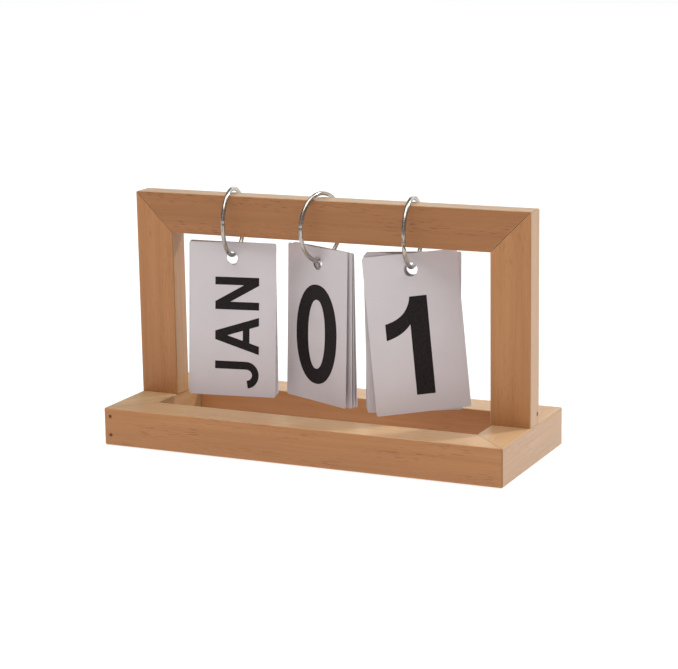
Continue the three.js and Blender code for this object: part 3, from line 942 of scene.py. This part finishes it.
def ink_sheet(outline, holes, bend):
    """A filled shape, cut along the card's grid lines so that it can follow the bend."""
    loops = [[Vector((x, z, 0)) for x, z in part] for part in [outline, *holes]]
    bm = bmesh.new()
    verts = [bm.verts.new((p.x, 0, p.y)) for part in loops for p in part]
    for triangle in tessellate_polygon(loops):
        if len(set(triangle)) == 3:
            bm.faces.new([verts[i] for i in triangle])
    for axis, lines in ((Vector((1, 0, 0)), bend.xs), (Vector((0, 0, 1)), bend.zs)):
        for line in lines:
            bmesh.ops.bisect_plane(bm, geom=bm.verts[:] + bm.edges[:] + bm.faces[:],
                                   dist=CUT_TOLERANCE, plane_co=axis * float(line), plane_no=axis)
    bmesh.ops.dissolve_limit(bm, angle_limit=FLAT_ANGLE, verts=bm.verts[:], edges=[])
    bm.verts.index_update()
    points = [(v.co.x, v.co.z) for v in bm.verts]
    faces = [[v.index for v in f.verts] for f in bm.faces]
    bm.free()
    return points, faces


def thicken(points, faces, bend, front, back):
    """A closed plate from a bent sheet, between two depths behind it.

    Its points, its faces, and how many of those come before the ones round its rims.
    """
    n = len(points)
    verts = [(x, bend(x, z) + depth, z) for depth in (front, back) for x, z in points]
    used = {}
    for face in faces:
        for a, b in zip(face, face[1:] + face[:1]):
            used.setdefault(frozenset((a, b)), []).append((a, b))
    rims = [pairs[0] for pairs in used.values() if len(pairs) == 1]
    sides = [list(face) for face in faces] + [[i + n for i in face[::-1]] for face in faces]
    count = len(sides)
    sides += [[b, a, a + n, b + n] for a, b in rims]
    return verts, sides, count


def word_parts(word):
    """A month's letters laid end to end: width, and parts in letter heights."""
    parts, x = [], 0.0
    for name in word.upper():
        width, shapes = letter(name)
        parts += moved(shapes, lambda point, start=x: (start + point[0], point[1]))
        x += width + LETTER_GAP
    return x - LETTER_GAP, parts


def printed_parts(stack, label):
    """What is printed on a card, in the card's millimetres."""
    if stack != "month":
        def put(point):
            left, foot = DIGIT_AT[stack]
            return left + DIGIT_HEIGHT * point[0], foot + DIGIT_HEIGHT * point[1]
        parts = digit(label)
    else:
        width, parts = word_parts(label)
        narrow = min(1.0, LETTER_ROOM / (width * LETTER_HEIGHT))
        start = LETTER_MIDDLE - width * LETTER_HEIGHT * narrow / 2

        def put(point):
            return LETTER_BASE - LETTER_HEIGHT * point[1], start + LETTER_HEIGHT * narrow * point[0]
    return moved(parts, put)


def add_card(stack, label, index, count, materials, ink):
    """One card and its printing; index counts from the front card of the stack."""
    node = f"{stack}_card_{label}"
    card = CardFrame(node)
    spread = index / max(1, count - 1)
    side, foot = (curl + more * spread for curl, more in zip(CURLS[stack], CURL_SPREAD))
    bend = Bend(card, side, foot + (FRONT_FOOT_CURL if index == 0 else 0))
    points, faces = card_sheet(bend)
    verts, faces, count_flat = thicken(points, faces, bend, -CARD_THICKNESS / 2, CARD_THICKNESS / 2)
    ids = [0] * count_flat + [1] * (len(faces) - count_flat)
    new_piece(f"{node}_stock", [card.place(*v) for v in verts], faces, materials, node,
              replaces=[node], material_ids=ids)
    verts, faces = [], []
    for layer, (outer, holes) in enumerate(printed_parts(stack, label)):
        points, flat = ink_sheet(outer, holes, bend)
        depth = -CARD_THICKNESS / 2 - INK_THICKNESS - INK_LAYER * layer
        plate, sides, _ = thicken(points, flat, bend, depth, -CARD_THICKNESS / 2 + INK_ROOT)
        first = len(verts)
        verts += [card.place(*v) for v in plate]
        faces += [[i + first for i in face] for face in sides]
    new_piece(f"{node}_print", verts, faces, [ink], node)


def add_cards():
    # The second material, for the cut edges, carries the painted highlight on the card rims.
    materials = [card_material("card_face", CARD_FACE_COLOUR, edge=False),
                 card_material("card_edge_highlight", CARD_EDGE_HIGHLIGHT, edge=True)]
    ink = ink_material()
    for stack in STACKS:
        labels = [n.split("_")[-1] for n in frame["nodes"] if n.startswith(f"{stack}_card_")]
        labels.sort(key=lambda label: card_order(stack, label))
        for index, label in enumerate(labels):
            add_card(stack, label, index, len(labels), materials, ink)


def card_order(stack, label):
    """Cards from front to back, by where their foot is."""
    return CardFrame(f"{stack}_card_{label}").place(0, 0, NEAR_FOOT).y


# ------------------------------------------------------------------ studio
# A white table that glows a little, a soft key from the back right, and four broad white
# panels; the one behind gives the sheen on the tops of the bars.

TO_KEY = (0.46, 0.53, 0.71)
KEY_STRENGTH = 1.9
KEY_ANGLE = math.radians(6)
KEY_COLOUR = (0.93, 0.99, 1)
LAMPS_AIM = (0, 0, 0.06)
ROOM_LIGHT = 0.16
FLOOR_REACH = 12.0
FLOOR_DROP = 0.3 * MM  # below the base, so that the two surfaces don't flicker
FLOOR_ALBEDO = 0.36
FLOOR_GLOW = 0.74
PANELS = {  # place, width, height and power
    "back_panel": ((0.1, 3.2, 1.15), 4.0, 1.6, 28.0),
    "top_panel": ((0.1, -0.35, 2.2), 2.2, 2.0, 46.0),
    "right_panel": ((2.6, 0.5, 0.9), 1.6, 1.4, 0.3),
    "front_panel": ((0.2, -2.4, 1.3), 2.6, 1.6, 4.5),
}


def add_lamp(name, kind, at, **settings):
    """A lamp at a point, turned towards the calendar. A lamp shines along its own -Z."""
    data = bpy.data.lights.new(name, kind)
    for key, value in settings.items():
        setattr(data, key, value)
    lamp = bpy.data.objects.new(name, data)
    bpy.context.scene.collection.objects.link(lamp)
    lamp.location = at
    lamp.rotation_euler = (Vector(at) - Vector(LAMPS_AIM)).to_track_quat("Z", "Y").to_euler()


def add_floor():
    graph = Graph("floor_white", Roughness=0.9, Specular_IOR_Level=0.0,
                  Emission_Color=(1, 1, 1, 1), Emission_Strength=FLOOR_GLOW)
    cloud = graph.noise((3, 3, 3))
    shade = (FLOOR_ALBEDO,) * 3
    colour = graph.mixed(cloud, shade, tuple(1.02 * c for c in shade))
    graph.link(colour, graph.shader.inputs["Base Color"])
    mesh = bpy.data.meshes.new("floor")
    corners = [(x * FLOOR_REACH, y * FLOOR_REACH, -FLOOR_DROP)
               for x, y in ((-1, -1), (1, -1), (1, 1), (-1, 1))]
    mesh.from_pydata(corners, [], [(0, 1, 2, 3)])
    mesh.materials.append(graph.material)
    floor = bpy.data.objects.new("floor", mesh)
    bpy.context.scene.collection.objects.link(floor)


def add_studio():
    add_floor()
    world = bpy.data.worlds.new("studio")
    world.use_nodes = True
    background = world.node_tree.nodes["Background"]
    background.inputs["Color"].default_value = (1, 1, 1, 1)
    background.inputs["Strength"].default_value = ROOM_LIGHT
    bpy.context.scene.world = world
    add_lamp("key", "SUN", Vector(TO_KEY) * 2, energy=KEY_STRENGTH, angle=KEY_ANGLE,
             color=KEY_COLOUR)
    for name, (at, width, height, power) in PANELS.items():
        add_lamp(name, "AREA", at, shape="RECTANGLE", size=width, size_y=height, energy=power)
    bpy.context.scene.view_settings.view_transform = "Standard"


add_camera()
add_studio()
add_stand()
add_rings()
add_cards()
